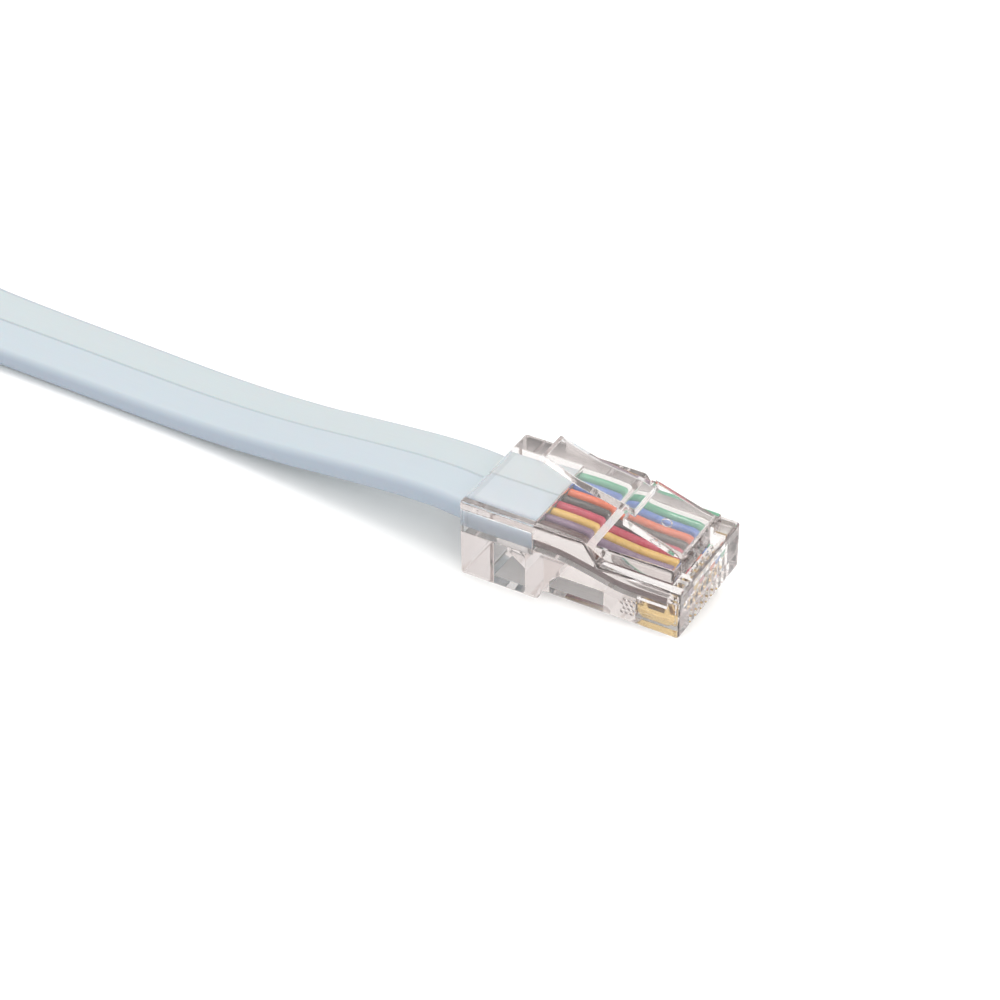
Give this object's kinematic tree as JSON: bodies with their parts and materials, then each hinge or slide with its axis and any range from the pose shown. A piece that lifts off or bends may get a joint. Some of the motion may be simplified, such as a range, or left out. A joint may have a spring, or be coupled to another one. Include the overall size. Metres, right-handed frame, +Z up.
{
  "type": "rj45 console cable",
  "caption": "Flat pale blue data cable with a clear modular plug and sprung latch on each end, its spare length folded in a tied hank.",
  "frame": {"origin": "on the floor under the middle of the first plug's body", "axes": "+X towards the first plug's nose, +Y across the plug, +Z up through its latch side"},
  "size_m": [0.2385, 0.0666, 0.0122],
  "materials": {
    "clear_plastic": "clear moulded polycarbonate, polished",
    "gold_contact": "gold plated, bright",
    "cable_jacket": "extruded soft vinyl, satin",
    "tie_fabric": "woven hook and loop tape",
    "green_wire": "extruded wire insulation, satin",
    "blue_wire": "extruded wire insulation, satin",
    "orange_wire": "extruded wire insulation, satin",
    "black_wire": "extruded wire insulation, satin",
    "red_wire": "extruded wire insulation, satin",
    "yellow_wire": "extruded wire insulation, satin",
    "purple_wire": "extruded wire insulation, satin",
    "brown_wire": "extruded wire insulation, satin"
  },
  "bodies": {
    "root": {"plug_housing": "clear_plastic", "plug_contact_1": "gold_contact", "plug_wire_1": "green_wire", "plug_contact_2": "gold_contact", "plug_wire_2": "blue_wire", "plug_contact_3": "gold_contact", "plug_wire_3": "orange_wire", "plug_contact_4": "gold_contact", "plug_wire_4": "black_wire", "plug_contact_5": "gold_contact", "plug_wire_5": "red_wire", "plug_contact_6": "gold_contact", "plug_wire_6": "yellow_wire", "plug_contact_7": "gold_contact", "plug_wire_7": "purple_wire", "plug_contact_8": "gold_contact", "plug_wire_8": "brown_wire", "far_plug_housing": "clear_plastic", "far_plug_contact_1": "gold_contact", "far_plug_wire_1": "green_wire", "far_plug_contact_2": "gold_contact", "far_plug_wire_2": "blue_wire", "far_plug_contact_3": "gold_contact", "far_plug_wire_3": "orange_wire", "far_plug_contact_4": "gold_contact", "far_plug_wire_4": "black_wire", "far_plug_contact_5": "gold_contact", "far_plug_wire_5": "red_wire", "far_plug_contact_6": "gold_contact", "far_plug_wire_6": "yellow_wire", "far_plug_contact_7": "gold_contact", "far_plug_wire_7": "purple_wire", "far_plug_contact_8": "gold_contact", "far_plug_wire_8": "brown_wire", "cable_lead": "cable_jacket", "cable_hank": "cable_jacket", "cable_tail": "cable_jacket", "hank_tie_1": "tie_fabric", "hank_tie_2": "tie_fabric"},
    "latch": {"plug_latch": "clear_plastic"},
    "far_latch": {"far_plug_latch": "clear_plastic"}
  },
  "joints": [
    {"name": "latch_press", "type": "hinge", "parent": "root", "child": "latch", "pos_m": [0.00905, 0, 0.0077], "axis": [0, -1, 0], "range_deg": [0, 10], "stiffness_Nm_per_rad": 0.3},
    {"name": "far_latch_press", "type": "hinge", "parent": "root", "child": "far_latch", "pos_m": [-0.1183, -0.0273, 0.00584], "axis": [0, 0, -1], "range_deg": [0, 10], "stiffness_Nm_per_rad": 0.3}
  ]
}
